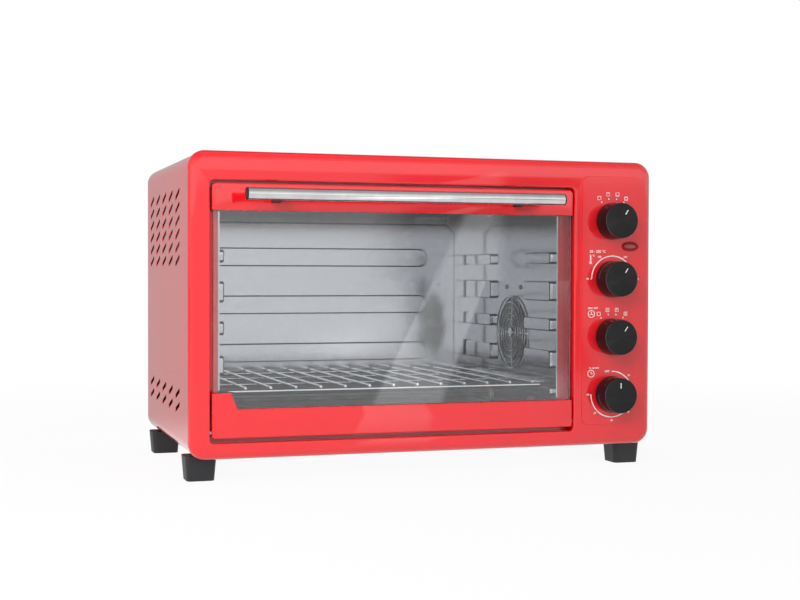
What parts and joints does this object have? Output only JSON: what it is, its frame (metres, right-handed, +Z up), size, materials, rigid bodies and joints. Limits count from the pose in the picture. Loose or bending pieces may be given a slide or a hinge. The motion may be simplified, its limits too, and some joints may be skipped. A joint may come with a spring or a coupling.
{
  "type": "countertop oven",
  "caption": "Countertop convection oven with a red casing, drop-down glass door with bar handle, wire rack, side vents and rotary controls.",
  "frame": {"origin": "centre of the overall box in plan, on the surface that the feet stand on", "axes": "+X to the user's right along the front, -Y towards the user, +Z up"},
  "size_m": [0.54, 0.3674, 0.3523],
  "materials": {
    "red_enamel": "glossy red stove enamel",
    "galvanised": "galvanised sheet, dull silver",
    "glass": "clear tempered glass",
    "chrome": "bright chrome plate",
    "black_plastic": "satin to gloss black plastic",
    "foot_plastic": "matte black plastic",
    "dark_enamel": "dark grey enamel",
    "heater_steel": "dark stainless sheath",
    "ceramic": "off-white steatite",
    "steel": "plain steel",
    "rubber": "black silicone",
    "lamp_red": "translucent red",
    "switch_plastic": "off-white moulding",
    "motor_steel": "laminated steel",
    "aluminium": "plain aluminium"
  },
  "bodies": {
    "cabinet": {"base_plate": "galvanised", "casing_screws": "steel", "cavity_ceiling": "galvanised", "cavity_floor": "galvanised", "cavity_left_wall": "galvanised", "cavity_rear_wall": "galvanised", "cavity_right_wall": "galvanised", "cord_gland": "rubber", "crumb_tray": "dark_enamel", "fan_cup": "galvanised", "fan_grille": "chrome", "fan_motor": "motor_steel", "fan_switch": "switch_plastic", "foot_front_left": "foot_plastic", "foot_front_right": "foot_plastic", "foot_rear_left": "foot_plastic", "foot_rear_right": "foot_plastic", "foot_screws": "steel", "front_frame": "red_enamel", "function_switch": "switch_plastic", "heat_shield": "galvanised", "heater_bushes": "ceramic", "hinge_bracket_left": "steel", "hinge_bracket_right": "steel", "indicator_bezel": "lamp_red", "indicator_lamp": "glass", "indicator_lens": "lamp_red", "lower_heater_front": "heater_steel", "lower_heater_rear": "heater_steel", "outer_shell": "red_enamel", "rear_cover": "galvanised", "terminal_block": "switch_plastic", "thermostat_body": "steel", "thermostat_bulb": "steel", "timer_body": "steel", "upper_heater_front": "heater_steel", "upper_heater_rear": "heater_steel"},
    "door": {"door_upper_rail": "red_enamel", "door_lower_rail": "red_enamel", "door_glass": "glass", "glass_gaskets": "rubber", "hinge_blocks": "steel", "hinge_pins": "steel", "handle_tube": "chrome", "handle_caps": "black_plastic", "handle_bracket_left": "black_plastic", "handle_bracket_right": "black_plastic", "handle_screws": "steel"},
    "rack": {"wire_rack": "chrome"},
    "fan": {"fan_blade": "aluminium", "fan_shaft": "steel"},
    "function_control": {"function_knob": "black_plastic", "function_shaft": "steel"},
    "thermostat_control": {"thermostat_knob": "black_plastic", "thermostat_shaft": "steel"},
    "mode_control": {"mode_knob": "black_plastic", "mode_shaft": "steel"},
    "timer_control": {"timer_knob": "black_plastic", "timer_shaft": "steel"}
  },
  "joints": [
    {"name": "door_hinge", "type": "hinge", "parent": "cabinet", "child": "door", "pos_m": [0, -0.1333, 0.054], "axis": [1, 0, 0], "range_deg": [0, 90], "stiffness_Nm_per_rad": 0.8, "springref_deg": -22.92},
    {"name": "rack_slide", "type": "slide", "parent": "cabinet", "child": "rack", "axis": [0, -1, 0], "range_m": [0, 0.0555]},
    {"name": "fan_spin", "type": "hinge", "parent": "cabinet", "child": "fan", "pos_m": [0.17, 0.0087, 0.15], "axis": [1, 0, 0], "continuous": true},
    {"name": "function_turn", "type": "hinge", "parent": "cabinet", "child": "function_control", "pos_m": [0.2194, -0.1393, 0.2835], "axis": [0, 1, 0], "range_deg": [-66, 0]},
    {"name": "thermostat_turn", "type": "hinge", "parent": "cabinet", "child": "thermostat_control", "pos_m": [0.2194, -0.1393, 0.217], "axis": [0, 1, 0], "range_deg": [-123, 57]},
    {"name": "mode_turn", "type": "hinge", "parent": "cabinet", "child": "mode_control", "pos_m": [0.2194, -0.1393, 0.1505], "axis": [0, 1, 0], "range_deg": [-66, 0]},
    {"name": "timer_turn", "type": "hinge", "parent": "cabinet", "child": "timer_control", "pos_m": [0.2194, -0.1393, 0.084], "axis": [0, 1, 0], "range_deg": [0, 270]}
  ],
  "couplings": [
    {"joint": "rack_slide", "follows": "door_hinge", "m_per_rad": 0.035}
  ]
}
